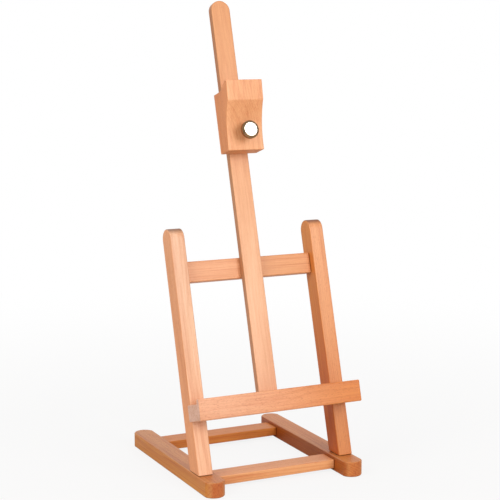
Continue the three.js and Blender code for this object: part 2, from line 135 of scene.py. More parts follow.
CAMERA_STAND = Vector((-0.6779, -1.4226, 0.4921))
CAMERA_TARGET = Vector((0, -0.0146, 0.2456))
CAMERA_ANGLE = math.radians(19.925)


# ---------------------------------------------------------------- reading the frame

def node_points(node):
    return [vertex.co.copy() for vertex in frame["nodes"][node].data.vertices]


def extent(node, direction):
    """The node's lowest and highest place along direction."""
    places = [point.dot(direction) for point in node_points(node)]
    return min(places), max(places)


def middle(node):
    low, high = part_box(node)
    return (low + high) / 2


def forward_mm(node):
    """The node's back and front, in millimetres forward of the mast."""
    low, high = extent(node, FORWARD)
    origin = KNOB_CENTRE.dot(FORWARD)
    return (low - origin) / MM, (high - origin) / MM


def radius_mm(node):
    """Half the node's width, from left to right."""
    low, high = extent(node, RIGHT)
    return (high - low) / 2 / MM


def beside(direction):
    """A direction across that one: to the right, or up where it runs to the right itself."""
    return RIGHT if abs(direction.dot(RIGHT)) < 0.9 else UP


def cap_outline(node, direction):
    """The outer boundary of the node's flat end that looks along direction, in order."""
    solid = bmesh.new()
    solid.from_mesh(frame["nodes"][node].data)
    bmesh.ops.remove_doubles(solid, verts=solid.verts, dist=0.001 * MM)
    reach = max(vertex.co.dot(direction) for vertex in solid.verts)

    def on_cap(face):
        gap = reach - face.verts[0].co.dot(direction)
        return face.normal.dot(direction) > 0.999 and gap < 0.01 * MM

    after = {}
    for face in filter(on_cap, solid.faces):
        for loop in face.loops:
            if not on_cap(loop.link_loop_radial_next.face):
                after[loop.vert] = loop.link_loop_next.vert
    loops = []
    while after:
        start, vertex = after.popitem()
        points = [start.co.copy()]
        while vertex is not start:
            points.append(vertex.co.copy())
            vertex = after.pop(vertex)
        loops.append(points)
    solid.free()

    def girth(points):
        return sum((a - b).length for a, b in zip(points, points[1:] + points[:1]))

    return max(loops, key=girth)


# ---------------------------------------------------------------- mesh helpers

def new_object(name, mesh):
    made = bpy.data.objects.new(name, mesh)
    bpy.context.scene.collection.objects.link(made)
    return made


def object_from(name, solid):
    """An object holding the bmesh's faces, which point outwards."""
    bmesh.ops.recalc_face_normals(solid, faces=solid.faces)
    mesh = bpy.data.meshes.new(name)
    solid.to_mesh(mesh)
    solid.free()
    return new_object(name, mesh)


def apply_modifiers(piece):
    depsgraph = bpy.context.evaluated_depsgraph_get()
    mesh = bpy.data.meshes.new_from_object(piece.evaluated_get(depsgraph))
    piece.modifiers.clear()
    piece.data = mesh


def prism(name, outline, direction, depth):
    """A solid with that outline, depth thick behind it."""
    solid = bmesh.new()
    near = [solid.verts.new(point) for point in outline]
    far = [solid.verts.new(point - direction * depth) for point in outline]
    solid.faces.new(near)
    solid.faces.new(list(reversed(far)))
    for i, vertex in enumerate(near):
        j = (i + 1) % len(near)
        solid.faces.new([near[j], vertex, far[i], far[j]])
    return object_from(name, solid)


def round_edges(piece, radius, steps=ROUNDING_STEPS, angle=ROUNDED_EDGE_ANGLE):
    """Rounds the piece's outward edges that are sharper than angle."""
    solid = bmesh.new()
    solid.from_mesh(piece.data)
    solid.normal_update()
    sharp = [edge for edge in solid.edges if edge.is_convex and edge.calc_face_angle(0) > angle]
    bmesh.ops.bevel(
        solid, geom=sharp, offset=radius, segments=steps, profile=0.5, affect="EDGES",
        clamp_overlap=True,
    )
    solid.to_mesh(piece.data)
    solid.free()


def cut(piece, cutters):
    """Takes the cutters' shapes out of the piece and deletes them."""
    for cutter in cutters:
        boolean = piece.modifiers.new("cut", "BOOLEAN")
        boolean.operation = "DIFFERENCE"
        boolean.solver = "EXACT"
        boolean.object = cutter
    apply_modifiers(piece)
    for cutter in cutters:
        bpy.data.objects.remove(cutter)


def finish_surface(piece, material, angle=SMOOTH_ANGLE):
    """Smooth rounded edges, crisp flat faces, and one material."""
    mesh = piece.data
    mesh.materials.clear()
    mesh.materials.append(material)
    mesh.shade_smooth()
    mesh.set_sharp_from_angle(angle=angle)
    piece.modifiers.new("normals", "WEIGHTED_NORMAL").keep_sharp = True
    apply_modifiers(piece)


def mark_edges(piece, sharp_form, radius):
    """Stores how far each point was rounded away from the sharp form, from 0 to 1, as 'edge'."""
    tree = BVHTree.FromObject(sharp_form, bpy.context.evaluated_depsgraph_get())
    full = 0.29 * radius         # the middle of a rounded right angle lies this far in
    values = []
    for vertex in piece.data.vertices:
        distance = tree.find_nearest(vertex.co)[3]
        values.append(min(distance / full, 1.0) if distance < radius else 0.0)
    attribute = piece.data.attributes.new("edge", "FLOAT", "POINT")
    attribute.data.foreach_set("value", values)


def turned(name, profile, segments, shape=None):
    """A solid turned about local Z. profile lists (radius, height) in mm, and starts and ends
    with a radius of 0, which closes it. shape(radius, height, angle) may change a radius."""
    solid = bmesh.new()
    rings = []
    for radius, height in profile:
        if radius == 0:
            rings.append([solid.verts.new((0, 0, height * MM))])
            continue
        ring = []
        for i in range(segments):
            angle = math.tau * i / segments
            reach = (shape(radius, height, angle) if shape else radius) * MM
            ring.append(solid.verts.new(
                (reach * math.cos(angle), reach * math.sin(angle), height * MM)
            ))
        rings.append(ring)
    for low, high in zip(rings, rings[1:]):
        for i in range(segments):
            j = (i + 1) % segments
            corners = [low[i % len(low)], low[j % len(low)], high[j % len(high)], high[i % len(high)]]
            solid.faces.new(list(dict.fromkeys(corners)))
    return object_from(name, solid)


def rounded_corner(corner, before, after, radius, steps=5):
    """Points of an arc that rounds a profile's corner, between its neighbours' directions."""
    corner, before, after = Vector(corner), Vector(before), Vector(after)
    towards = [(before - corner).normalized(), (after - corner).normalized()]
    half = towards[0].angle(towards[1]) / 2
    reach = radius / math.tan(half)
    centre = corner + (towards[0] + towards[1]).normalized() * radius / math.sin(half)
    start = corner + towards[0] * reach - centre
    end = corner + towards[1] * reach - centre
    turn = start.angle_signed(end)
    points = []
    for i in range(steps + 1):
        points.append(centre + Matrix.Rotation(-turn * i / steps, 2) @ start)
    return [(point.x, point.y) for point in points]


def round_profile(corners, steps=5):
    """A profile from (x, y, rounding radius) corners; the first and last stay sharp."""
    points = [corners[0][:2]]
    for i in range(1, len(corners) - 1):
        x, y, radius = corners[i]
        if radius == 0:
            points.append((x, y))
        else:
            points += rounded_corner((x, y), corners[i - 1][:2], corners[i + 1][:2], radius, steps)
    return points + [corners[-1][:2]]


def axis_frame(origin, direction):
    """Local Z along direction, local X to the right where it can be."""
    y = direction.cross(beside(direction)).normalized()
    x = y.cross(direction).normalized()
    turn = Matrix((x, y, direction)).transposed().to_4x4()
    return Matrix.Translation(origin) @ turn


def place(piece, matrix):
    """Moves the mesh itself, so that the object stays at the origin as CAD nodes do."""
    piece.data.transform(matrix)
    return piece


# ---------------------------------------------------------------- material helpers

class Graph:
    """Adds shader nodes to a material or world. An input is a value or another node's output."""

    def __init__(self, owner, shader="Principled BSDF"):
        owner.use_nodes = True
        self.owner = owner
        self.tree = owner.node_tree
        self.shader = self.tree.nodes[shader]

    def set(self, node, inputs):
        for key, value in inputs.items():
            if isinstance(value, bpy.types.NodeSocket):
                self.tree.links.new(value, node.inputs[key])
            else:
                node.inputs[key].default_value = value

    def add(self, kind, inputs=None, **settings):
        made = self.tree.nodes.new("ShaderNode" + kind)
        for key, value in settings.items():
            setattr(made, key, value)
        self.set(made, inputs or {})
        return made

    def math(self, operation, a, b=0.0, c=0.0):
        return self.add("Math", {0: a, 1: b, 2: c}, operation=operation).outputs[0]

    def weigh(self, parts, start=0.0):
        """start plus every (value, weight) pair's product."""
        total = start
        for value, weight in parts:
            total = self.math("MULTIPLY_ADD", value, weight, total)
        return total

    def noise(self, vector, scale, detail=2.0, roughness=0.5):
        made = self.add("TexNoise", {
            "Vector": vector, "Scale": scale, "Detail": detail, "Roughness": roughness,
        })
        return made.outputs["Fac"]

    def stretch(self, vector, scale):
        return self.add("Mapping", {"Vector": vector, "Scale": scale}).outputs["Vector"]

    def between(self, value, low, high, to_low=0.0, to_high=1.0):
        """value from low to high becomes to_low to to_high, smoothly and clamped."""
        made = self.add("MapRange", {
            "Value": value, "From Min": low, "From Max": high, "To Min": to_low, "To Max": to_high,
        }, interpolation_type="SMOOTHSTEP")
        return made.outputs["Result"]

    def mix(self, factor, a, b, blend="MIX"):
        made = self.add("Mix", {0: factor, 6: a, 7: b}, data_type="RGBA", blend_type=blend)
        return made.outputs[2]

    def darken(self, factor, colour, tint):
        """Multiplies the colour by tint, as far as factor says."""
        return self.mix(factor, colour, rgb(*tint), "MULTIPLY")

    def bump(self, height, strength, distance_mm):
        inputs = {"Height": height, "Strength": strength, "Distance": distance_mm * MM}
        return self.add("Bump", inputs).outputs["Normal"]


def rgb(red, green, blue):
    return (red, green, blue, 1.0)


def tinted(colour, tint):
    return rgb(*(a * b for a, b in zip(colour, tint)))


def object_mm(graph):
    """The place on the object, in millimetres."""
    return graph.stretch(graph.add("TexCoord").outputs["Object"], (1000, 1000, 1000))


# ---------------------------------------------------------------- beech

BEECH_LIGHT = (0.82, 0.42, 0.215)
BEECH_DEEP = (0.64, 0.27, 0.11)

# How fast each pattern in the wood changes: per millimetre across the board, through it and
# along its grain
PATTERN_SCALES = {
    "drift": (0.012, 0.012, 0.0042),
    "broad": (0.05, 0.05, 0.006),
    "streaks": (0.42, 0.42, 0.009),
    "fibre": (1.5, 1.5, 0.035),
    "fine_fibre": (5.5, 5.5, 0.16),
    "rays": (2.6, 0.3, 0.27),
    "pores": (9.0, 9.0, 0.5),
    "patches": (0.12, 0.12, 0.05),
}
# What each mark multiplies the colour by, and how strong it is
MARKS = {
    "red_streak": ((0.90, 0.74, 0.66), 0.60),
    "pale_streak": ((1.03, 1.08, 1.14), 0.55),
    "latewood": ((0.84, 0.66, 0.56), 0.62),
    "ray_dash": ((0.66, 0.48, 0.40), 0.60),
    "pore": ((0.62, 0.46, 0.38), 0.35),
    "ray_fleck": ((1.04, 1.09, 1.16), 0.45),
}
SIDE_SLOPE = (0.55, 0.95)        # from where to where a face counts as looking sideways
# Lighter edges: partly real wear, partly a painted highlight.
WEAR_AND_HIGHLIGHT_TINT = (1.06, 1.16, 1.28)
# The painted shade where pieces meet: its tint, and how far the occlusion looks.
CONTACT_SHADE_TINT = (0.28, 0.15, 0.09)
CONTACT_SHADE_REACH_MM = 4.0
RING_WIDTH_MM = 2.3
RING_WANDER_MM = 17
UNEVEN_RINGS = 3.2
# How far a board's cut may stray in the tree: across it, through it and along its grain
START_SPREAD_MM = (8, 12, 4000)


@dataclass
class Wood:
    """How one piece was sawn from the tree, and its own colour.

    grain is the direction along the fibres, and rings the direction of the growth rings' radius.
    pith_mm is how far off the tree's centre lies, across the piece and along rings. low and high
    tint the beech at the grain's two ends. end tints the sawn ends, which drink the lacquer, and
    end_high the far one where it differs; on the tray both are lighter, a painted reflection of
    the bright surroundings. end_slope says how far a face leans towards the grain before it shows
    as an end. flank tints the faces that look outwards to the sides. inner_shade_low and inner darken
    those that look in towards the mast, at the grain's two ends: painted shade, for the light the
    frame keeps from them. figure and rays are how strong those marks are, and the last field is
    how strong the painted shade is where two pieces meet.
    """
    grain: Vector
    rings: Vector
    seed: int
    pith_mm: tuple = (30, 70)
    low: tuple = (1.0, 1.0, 1.0)
    high: tuple = (1.0, 1.0, 1.0)
    end: tuple = (0.92, 0.66, 0.55)
    end_high: tuple = None
    end_slope: tuple = (0.72, 0.96)
    flank: tuple = (0.96, 0.86, 0.72)
    inner_shade_low: tuple = (0.90, 0.78, 0.62)
    inner: tuple = (0.90, 0.78, 0.62)
    figure: float = 1.0
    rays: float = 1.0
    contact_shade: float = 1.0

    def axes(self):
        """Across the board, through it along the rings' radius, and along its grain."""
        along = self.grain.normalized()
        across = self.rings.cross(along).normalized()
        return across, along.cross(across), along


def grain_coordinates(graph, wood, offset_mm):
    """Millimetres across the board, through it, and along its grain, from a random start."""
    turn = Matrix(wood.axes()).to_euler("XYZ")
    position = graph.add("TexCoord").outputs["Object"]
    return graph.add("Mapping", {
        "Vector": position, "Rotation": turn, "Scale": (1000, 1000, 1000), "Location": offset_mm,
    }).outputs["Vector"]


def facing(graph, direction, low, high):
    """1 on faces that look along direction, either way, and 0 on faces that look past it."""
    cosine = graph.add("VectorMath", {
        0: graph.add("TexCoord").outputs["Normal"], 1: direction,
    }, operation="DOT_PRODUCT").outputs["Value"]
    return graph.between(graph.math("ABSOLUTE", cosine), low, high)


def sideways(graph):
    """How far faces look outwards to the left or right, and how far they look inwards."""
    position = graph.add("SeparateXYZ", {0: graph.add("TexCoord").outputs["Object"]}).outputs[0]
    normal = graph.add("SeparateXYZ", {0: graph.add("TexCoord").outputs["Normal"]}).outputs[0]
    outwards = graph.math("MULTIPLY", graph.math("SIGN", position), normal)
    low, high = SIDE_SLOPE
    return graph.between(outwards, low, high), graph.between(outwards, -low, -high)


def growth_rings(graph, place_mm):
    """Latewood lines, as distances from the tree's centre. They wander slowly along the board,
    which draws long shallow arches on it."""
    drift = graph.add("TexNoise", {
        "Vector": graph.stretch(place_mm, PATTERN_SCALES["drift"]), "Scale": 1.0, "Detail": 2.0,
    }).outputs["Color"]
    shift = graph.add("VectorMath", {0: drift, 1: (0.5, 0.5, 0.5)}, operation="SUBTRACT").outputs[0]
    wander = graph.add("VectorMath", {
        0: shift, 1: (RING_WANDER_MM, RING_WANDER_MM, 0), 2: place_mm,
    }, operation="MULTIPLY_ADD").outputs[0]
    split = graph.add("SeparateXYZ", {0: wander})
    radius = graph.math("SQRT", graph.math(
        "ADD",
        graph.math("MULTIPLY", split.outputs[0], split.outputs[0]),
        graph.math("MULTIPLY", split.outputs[1], split.outputs[1]),
    ))
    uneven = graph.noise(graph.add("CombineXYZ", {0: radius}).outputs[0], 0.16, 1.0)
    even = graph.math("DIVIDE", radius, RING_WIDTH_MM)
    ring = graph.math("MULTIPLY_ADD", uneven, UNEVEN_RINGS, even)
    phase = graph.math("FRACT", ring)

    # Each ring darkens slowly outwards and ends sharply.
    return graph.math("MULTIPLY", graph.math("POWER", phase, 3.0), graph.between(phase, 0.99, 0.92))


def beech(name, wood, span):
    """Steamed beech under a thin satin lacquer. span is the piece's extent along its grain."""
    draw = random.Random(wood.seed)
    graph = Graph(bpy.data.materials.new(name))
    offset = [
        start + draw.uniform(-spread, spread)
        for start, spread in zip((*wood.pith_mm, 0), START_SPREAD_MM)
    ]
    place_mm = grain_coordinates(graph, wood, offset)

    def pattern(kind, detail, roughness=0.5):
        return graph.noise(graph.stretch(place_mm, PATTERN_SCALES[kind]), 1.0, detail, roughness)

    def marked(colour, kind, shown, scale=1.0):
        tint, strength = MARKS[kind]
        return graph.darken(graph.math("MULTIPLY", shown, strength * scale), colour, tint)

    latewood = growth_rings(graph, place_mm)
    broad = pattern("broad", 3.0, 0.55)
    streaks = pattern("streaks", 2.5, 0.6)
    fibre = pattern("fibre", 4.0, 0.62)
    fine_fibre = pattern("fine_fibre", 2.0, 0.6)

    # Rays show as short dark dashes on the faces that cut across them, and as wide silky
    # flecks on the faces that lie along them.
    across, _, along = wood.axes()
    quartered = facing(graph, across, 0.45, 0.85)
    shown = graph.between(pattern("rays", 1.5, 0.55), 0.60, 0.69)
    fleck = graph.math("MULTIPLY", shown, quartered)
    dash = graph.math("MULTIPLY", graph.math("SUBTRACT", shown, fleck), wood.rays)
    pores = graph.between(pattern("pores", 0.0), 0.63, 0.74)

    distance = graph.add("VectorMath", {
        0: graph.add("TexCoord").outputs["Object"], 1: along,
    }, operation="DOT_PRODUCT").outputs["Value"]
    way = graph.between(distance, span[0], span[1])
    light = graph.mix(way, tinted(BEECH_LIGHT, wood.low), tinted(BEECH_LIGHT, wood.high))
    deep = graph.mix(way, tinted(BEECH_DEEP, wood.low), tinted(BEECH_DEEP, wood.high))
    tone = graph.weigh([(fibre, 0.55), (broad, 0.70), (fine_fibre, 0.25)])
    colour = graph.mix(graph.between(tone, 0.42, 1.08), light, deep)
    colour = marked(colour, "red_streak", graph.between(streaks, 0.50, 0.66), wood.figure)
    colour = marked(colour, "pale_streak", graph.between(streaks, 0.46, 0.32))
    colour = marked(colour, "latewood", latewood, wood.figure)
    colour = marked(colour, "ray_dash", dash)
    colour = marked(colour, "pore", pores)
    colour = marked(colour, "ray_fleck", fleck)

    end_grain = facing(graph, along, *wood.end_slope)
    outwards, inwards = sideways(graph)
    colour = graph.darken(outwards, colour, wood.flank)
    # Painted shade: faces that look in towards the mast are darkened, for the light the frame keeps
    # from them.
    inner = graph.mix(way, rgb(*wood.inner_shade_low), rgb(*wood.inner))
    colour = graph.mix(inwards, colour, inner, "MULTIPLY")
    end = graph.mix(way, rgb(*wood.end), rgb(*(wood.end_high or wood.end)))
    colour = graph.mix(end_grain, colour, end, "MULTIPLY")

    # Handling polishes the rounded edges and leaves them a little lighter in patches. The lighter
    # edges are also a painted highlight, for the light the rounded edges catch.
    edge = graph.add("Attribute", attribute_name="edge").outputs["Fac"]
    patches = graph.between(pattern("patches", 3.0), 0.4, 0.65)
    wear_and_highlight = graph.math("MULTIPLY", edge, graph.math("MULTIPLY_ADD", patches, 0.45, 0.12))
    colour = graph.darken(wear_and_highlight, colour, WEAR_AND_HIGHLIGHT_TINT)

    # Painted shade: ambient occlusion darkens the colour where two pieces meet, for the contact
    # shadow in the joint.
    if wood.contact_shade:
        reach = {"Distance": CONTACT_SHADE_REACH_MM * MM}
        open_sky = graph.add("AmbientOcclusion", reach, samples=8).outputs["AO"]
        joint_shade = graph.between(open_sky, 0.55, 0.12, 0.0, wood.contact_shade)
        colour = graph.darken(joint_shade, colour, CONTACT_SHADE_TINT)

    dull = graph.weigh([(fibre, 0.16), (end_grain, 0.14), (fleck, -0.06), (wear_and_highlight, -0.12)], 0.36)
    height = graph.weigh([(fine_fibre, 0.6), (dash, -1.0), (pores, -0.8)], fibre)
    graph.set(graph.shader, {
        "Base Color": colour,
        "Roughness": dull,
        "Normal": graph.bump(height, 0.30, 0.09),
        "Coat Weight": 0.10,
        "Coat Roughness": 0.30,
        "IOR": 1.46,
    })
    return graph.owner


# ---------------------------------------------------------------- metals and nylon

ZINC_COLOUR = (0.72, 0.73, 0.74)
STRIP_COLOUR = (0.66, 0.67, 0.68)
BRASS_COLOUR = (0.80, 0.56, 0.24)
NICKEL_COLOUR = (0.90, 0.88, 0.82)
SMUDGED_NICKEL_COLOUR = (0.80, 0.74, 0.60)
# A painted reflection: the brown of the wood and the dim room that the knob's chamfer mirrors.
PAINTED_RIM_REFLECTION_COLOUR = (0.32, 0.19, 0.095)
NYLON_COLOURS = ((0.018, 0.018, 0.020), (0.040, 0.040, 0.043))
TARNISH_TINT = (0.80, 0.78, 0.74)


def metal(name, colour, roughness, variation=0.08, brush=(1, 1, 1)):
    """Plated or turned metal with faint uneven polish; brush stretches its scratches."""
    graph = Graph(bpy.data.materials.new(name))
    place_mm = object_mm(graph)
    cloud = graph.noise(graph.stretch(place_mm, (0.35, 0.35, 0.35)), 1.0, 3.0)
    scratches = graph.noise(graph.stretch(place_mm, brush), 2.0, 3.0, 0.6)
    tarnish = graph.between(cloud, 0.35, 0.75, 0.0, 0.6)
    graph.set(graph.shader, {
        "Base Color": graph.mix(tarnish, rgb(*colour), tinted(colour, TARNISH_TINT)),
        "Metallic": 1.0,
        "Roughness": graph.weigh([(scratches, variation)], roughness - variation / 2),
        "Normal": graph.bump(scratches, 0.05, 0.03),
    })
    return graph.owner


def polished_knob(name, dome_mm):
    """Polished nickel plate on the face, dome_mm in radius, with fine turning rings, and a dark
    brown chamfer and knurl around it: a painted reflection of the wood and the dim room."""
    graph = Graph(bpy.data.materials.new(name))
    local = axis_frame(KNOB_CENTRE, FORWARD).inverted()
    rotated = graph.add("Mapping", {
        "Vector": graph.add("TexCoord").outputs["Object"],
        "Rotation": local.to_euler("XYZ"),
        "Scale": (1000, 1000, 1000),
        "Location": local.translation * 1000,
    }).outputs["Vector"]
    split = graph.add("SeparateXYZ", {0: rotated})
    flat = graph.add("CombineXYZ", {0: split.outputs[0], 1: split.outputs[1]}).outputs[0]
    radius = graph.add("VectorMath", {0: flat}, operation="LENGTH").outputs["Value"]
    rings = graph.noise(graph.add("CombineXYZ", {0: radius}).outputs[0], 9.0, 3.0, 0.7)
    cloud = graph.noise(graph.stretch(rotated, (0.25, 0.25, 0.25)), 1.0, 3.0)
    smudge = graph.between(cloud, 0.42, 0.72)
    smudged = graph.math("MULTIPLY", smudge, 0.22)
    base = graph.mix(smudged, rgb(*NICKEL_COLOUR), rgb(*SMUDGED_NICKEL_COLOUR))
    # Painted reflection: the chamfer and knurl are coloured dark brown, for the wood and the dim room
    # they mirror.
    rim = graph.between(radius, dome_mm - 0.15, dome_mm + 0.25)
    graph.set(graph.shader, {
        "Base Color": graph.mix(rim, base, rgb(*PAINTED_RIM_REFLECTION_COLOUR)),
        "Metallic": 1.0,
        "Roughness": graph.weigh([(smudge, 0.07), (rings, 0.06)], 0.13),
        "Normal": graph.bump(rings, 0.12, 0.02),
    })
    return graph.owner


def black_nylon(name):
    """Moulded nylon with a faint pebbled surface."""
    graph = Graph(bpy.data.materials.new(name))
    pebbles = graph.noise(object_mm(graph), 3.0, 3.0, 0.6)
    dark, light = NYLON_COLOURS
    graph.set(graph.shader, {
        "Base Color": graph.mix(pebbles, rgb(*dark), rgb(*light)),
        "Roughness": graph.weigh([(pebbles, 0.2)], 0.42),
        "Normal": graph.bump(pebbles, 0.2, 0.03),
    })
    return graph.owner


# ---------------------------------------------------------------- fasteners

def along_axis(node, axis):
    """Where the node's centre line starts, and how long it is along axis."""
    low, high = extent(node, axis)
    centre = middle(node)
    return centre + axis * (low - centre.dot(axis)), high - low


def straight_hole(start, axis, length, radius, segments=HOLE_SEGMENTS):
    """The cutter for a round hole from start along axis."""
    body = turned("hole", [
        (0, 0), (radius / MM, 0), (radius / MM, length / MM), (0, length / MM),
    ], segments)
    return place(body, axis_frame(start, axis))


def dowel_hole(node, axis):
    clearance = HOLE_CLEARANCE_MM * MM
    start, length = along_axis(node, axis)
    low, high = extent(node, beside(axis))
    radius = (high - low) / 2 + clearance
    return straight_hole(start - axis * clearance, axis, length + 2 * clearance, radius)


def screw_hole(node, axis, size):
    """axis points the way the screw is driven, so its head is at the low end."""
    head_top, length = along_axis(node, axis)
    start = -ABOVE_HEAD_MM
    end = length / MM + HOLE_CLEARANCE_MM
    shank = size["shank"] + HOLE_CLEARANCE_MM
    head = size["head"] + HOLE_CLEARANCE_MM
    body = turned("hole", [
        (0, start), (head, start), (head, HOLE_CLEARANCE_MM),
        (shank, size["depth"] + HOLE_CLEARANCE_MM), (shank, end), (0, end),
    ], ROUND_SEGMENTS)
    return place(body, axis_frame(head_top, axis))


def strap_screw_hole(side, level, spare):
    """The hole for a strap screw's shank, longer than the screw by spare."""
    start, length = along_axis(f"strap_screw_{side}_{level}", FORWARD)
    radius = (PAN_SCREW_MM["shank"] + HOLE_CLEARANCE_MM) * MM
    return straight_hole(start, FORWARD, length + spare, radius, SMALL_HOLE_SEGMENTS)


def cross_recess(reach, width, depth):
    """The tapered cross of a screwdriver recess, cut down into a head whose top is at z = 0."""
    bottom_reach = 0.35 * reach
    bottom_width = 0.7 * width
    above = 0.4 * depth
    wings = []
    for turn in (0, math.pi / 2):
        solid = bmesh.new()
        bmesh.ops.create_cube(solid, size=1)
        for vertex in solid.verts:
            top = vertex.co.z > 0
            vertex.co.x *= 2 * (reach if top else bottom_reach)
            vertex.co.y *= width if top else bottom_width
            vertex.co.z = above if top else -depth
        solid.transform(Matrix.Rotation(turn, 4, "Z") @ Matrix.Scale(MM, 4))
        wings.append(object_from("recess", solid))
    return wings


def screw_body(size, length_mm, pan):
    """A screw that points down, with the top of its head at z = 0, or the seat of a pan head."""
    head, depth, shank = size["head"], size["depth"], size["shank"]
    point = -length_mm + SCREW_POINT * shank
    if pan:
        top = depth
        corners = [
            (0, -length_mm, 0), (shank, point, 0), (shank, 0, 0), (head, 0, 0),
            (head, depth * 0.7, depth * 0.45), (head * 0.55, depth, depth * 0.5), (0, depth, 0),
        ]
    else:
        top = 0
        corners = [
            (0, -length_mm, 0), (shank, point, 0), (shank, -depth, 0.3), (head, -0.35, 0.12),
            (head, 0, 0.12), (head * 0.8, 0, 0), (0, 0, 0),
        ]
    body = turned("screw", round_profile(corners, 4), ROUND_SEGMENTS)
    recess = cross_recess(head * RECESS_REACH, head * RECESS_WIDTH, depth * RECESS_DEPTH)
    for wing in recess:
        place(wing, Matrix.Translation((0, 0, top * MM)))
    cut(body, recess)
    return body


def make_screw(node, axis, size, body_name, material, turn, pan=False):
    """Replaces the CAD screw with a finer one. axis is the way it is driven."""
    start, length = along_axis(node, axis)
    seat = size["depth"] * MM if pan else 0
    screw = screw_body(size, (length - seat) / MM, pan)
    screw.name = node + "_shown"
    place(screw, axis_frame(start + axis * seat, -axis) @ Matrix.Rotation(turn, 4, "Z"))
    finish_surface(screw, material, math.radians(38))
    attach(screw, body_name)
    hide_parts(node)


# ---------------------------------------------------------------- wooden pieces

# The uprights' round tops are dark end grain from where they start to curve. They take a little
# less painted shade where they meet other pieces.
UPRIGHT_END = {"end": (0.38, 0.32, 0.29), "end_slope": (0.32, 0.90), "contact_shade": 0.55}

# How each board was sawn and tinted, and how much painted shade it takes where it meets others
WOODS = {
    "left_side_rail": Wood(
        BACK, UP, 11, low=(0.79, 0.67, 0.43), high=(0.76, 0.64, 0.41), end=(0.93, 0.64, 0.42),
        flank=(1.04, 0.97, 0.50), figure=1.6, rays=1.8, contact_shade=0.6,
    ),
    # Its inner face is darkened, more towards the back: painted shade inside the base.
    "right_side_rail": Wood(
        BACK, UP, 12, low=(0.80, 0.63, 0.35), high=(0.78, 0.58, 0.32), end=(0.94, 0.76, 0.57),
        inner_shade_low=(0.72, 0.50, 0.20), inner=(0.58, 0.35, 0.07), figure=1.6, rays=1.6, contact_shade=0.6,
    ),
    "front_cross_rail": Wood(
        RIGHT, UP, 21, (20, 60), low=(1.06, 1.01, 0.87), high=(1.04, 0.98, 0.81),
        figure=1.5, rays=0.8, contact_shade=0.6,
    ),
    "rear_cross_rail": Wood(
        RIGHT, UP, 22, (20, 60), low=(0.84, 0.57, 0.18), high=(0.81, 0.54, 0.165),
        figure=1.5, rays=0.8, contact_shade=0.6,
    ),
    "left_upright": Wood(
        UP_LEAN, RIGHT + FORWARD * 0.5, 31, (40, 80), low=(1.10, 1.24, 1.45),
        high=(1.05, 1.27, 1.64), flank=(0.99, 0.77, 0.57), **UPRIGHT_END,
    ),
    # Its inner face is darkened towards the foot: painted shade under the tray.
    "right_upright": Wood(
        UP_LEAN, RIGHT * 0.6 - FORWARD, 32, (40, 80), low=(0.82, 0.57, 0.26),
        high=(1.01, 0.94, 0.86), inner_shade_low=(0.88, 0.55, 0.12),
        inner=(0.93, 0.80, 0.42), **UPRIGHT_END,
    ),
    "crossbar": Wood(
        RIGHT, UP_LEAN + FORWARD * 0.4, 41, (10, 55), low=(1.02, 0.98, 0.99), high=(0.95, 0.85, 0.68),
        rays=0.6, contact_shade=0.15,
    ),
    "mast": Wood(
        UP_LEAN, RIGHT + FORWARD * 0.8, 51, (20, 160), low=(1.06, 1.17, 1.37),
        high=(0.97, 0.92, 0.81), flank=(0.64, 0.57, 0.48), figure=0.4, rays=1.4, contact_shade=0,
    ),
    # Its ends are tinted lighter and bluer than the beech: a painted reflection of the bright
    # surroundings on the end grain.
    "canvas_tray": Wood(
        RIGHT, FORWARD, 61, (15, 75), low=(1.04, 1.06, 1.22), high=(0.86, 0.555, 0.19),
        end=(0.93, 1.20, 1.64), end_high=(1.02, 1.19, 2.3), flank=(1, 1, 1), rays=1.8,
    ),
    "canvas_holder": Wood(
        UP_LEAN, RIGHT, 71, (5, 90), low=(1.12, 1.12, 1.07), high=(1.06, 1.00, 0.91),
        end=(0.90, 0.80, 0.68), flank=(0.89, 0.74, 0.58), contact_shade=0,
    ),
}


def board(node, cap, body_name, holes, rounding_mm=BOARD_ROUNDING_MM):
    """Replaces a CAD board with one that has rounded edges and the same holes."""
    low, high = extent(node, cap)
    sharp = prism("sharp", cap_outline(node, cap), cap, high - low)
    piece = prism(node + "_shown", cap_outline(node, cap), cap, high - low)
    round_edges(piece, rounding_mm * MM)
    if holes:
        cut(piece, holes)
    mark_edges(piece, sharp, rounding_mm * MM)
    bpy.data.objects.remove(sharp)
    wood = WOODS[node]
    finish_surface(piece, beech("beech_" + node, wood, extent(node, wood.grain.normalized())))
    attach(piece, body_name)
    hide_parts(node)


def dowel_holes(nodes, side=None):
    """Holes across the easel for those dowels, or only for the ones on that side."""
    return [dowel_hole(node, RIGHT) for node in nodes if side is None or f"_{side}" in node]


def make_base():
    for side in SIDES:
        holes = dowel_holes(RAIL_DOWELS, side)
        holes.append(dowel_hole(f"foot_dowel_{side}", UP))
        holes.append(screw_hole(f"foot_screw_{side}", UP, LARGE_SCREW_MM))
        board(f"{side}_side_rail", UP, "frame", holes)
    for node in CROSS_RAILS:
        dowels = [name for name in RAIL_DOWELS if name.startswith(node)]
        board(node, RIGHT, "frame", dowel_holes(dowels), CROSS_RAIL_ROUNDING_MM)


def make_uprights():
    for side, cap in zip(SIDES, (-RIGHT, RIGHT)):
        holes = dowel_holes(BAR_DOWELS, side)
        holes.append(dowel_hole(f"foot_dowel_{side}", UP))
        start, length = along_axis(f"foot_screw_{side}", UP)
        clearance = HOLE_CLEARANCE_MM * MM
        radius = LARGE_SCREW_MM["shank"] * MM + clearance
        holes.append(straight_hole(start, UP, length + clearance, radius))
        holes.append(screw_hole(f"tray_screw_{side}", FORWARD, LARGE_SCREW_MM))
        board(f"{side}_upright", cap, "frame", holes)


